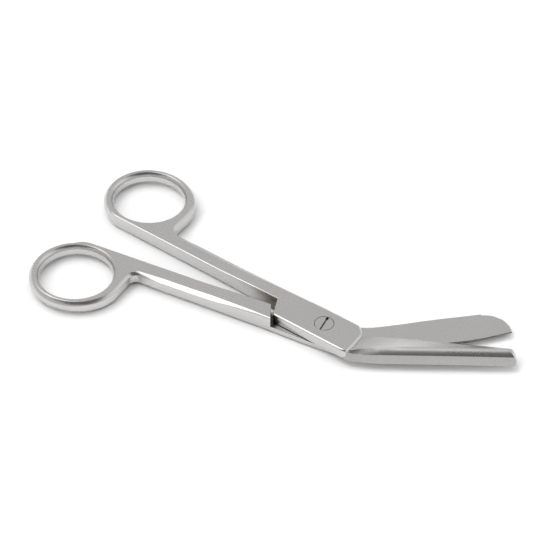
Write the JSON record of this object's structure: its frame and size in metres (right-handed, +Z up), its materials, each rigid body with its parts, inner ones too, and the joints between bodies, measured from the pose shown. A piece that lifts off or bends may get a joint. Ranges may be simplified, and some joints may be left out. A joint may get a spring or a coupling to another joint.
{
  "type": "episiotomy scissors",
  "caption": "Angled ring-handled surgical scissors with blunt hollow-ground blades on a half-lap joint and a slotted screw.",
  "frame": {"origin": "on the pivot screw's axis, in the plane of the underside, at the screw's flush end face", "axes": "+Z up out of the screw's slotted head, +X from the screw towards the tips along the line where the closed shanks meet, +Y towards the upper half's ring"},
  "size_m": [0.1484, 0.0669, 0.0059],
  "materials": {
    "lower_half_steel": "satin",
    "upper_half_steel": "satin",
    "pivot_screw_steel": "satin"
  },
  "bodies": {
    "lower_half": {"lower_half": "lower_half_steel", "pivot_screw": "pivot_screw_steel"},
    "upper_half": {"upper_half": "upper_half_steel"}
  },
  "joints": [
    {"name": "blade_pivot", "type": "hinge", "parent": "lower_half", "child": "upper_half", "pos_m": [0, 0, 0], "axis": [0, 0, 1], "range_deg": [-40, 9]}
  ]
}
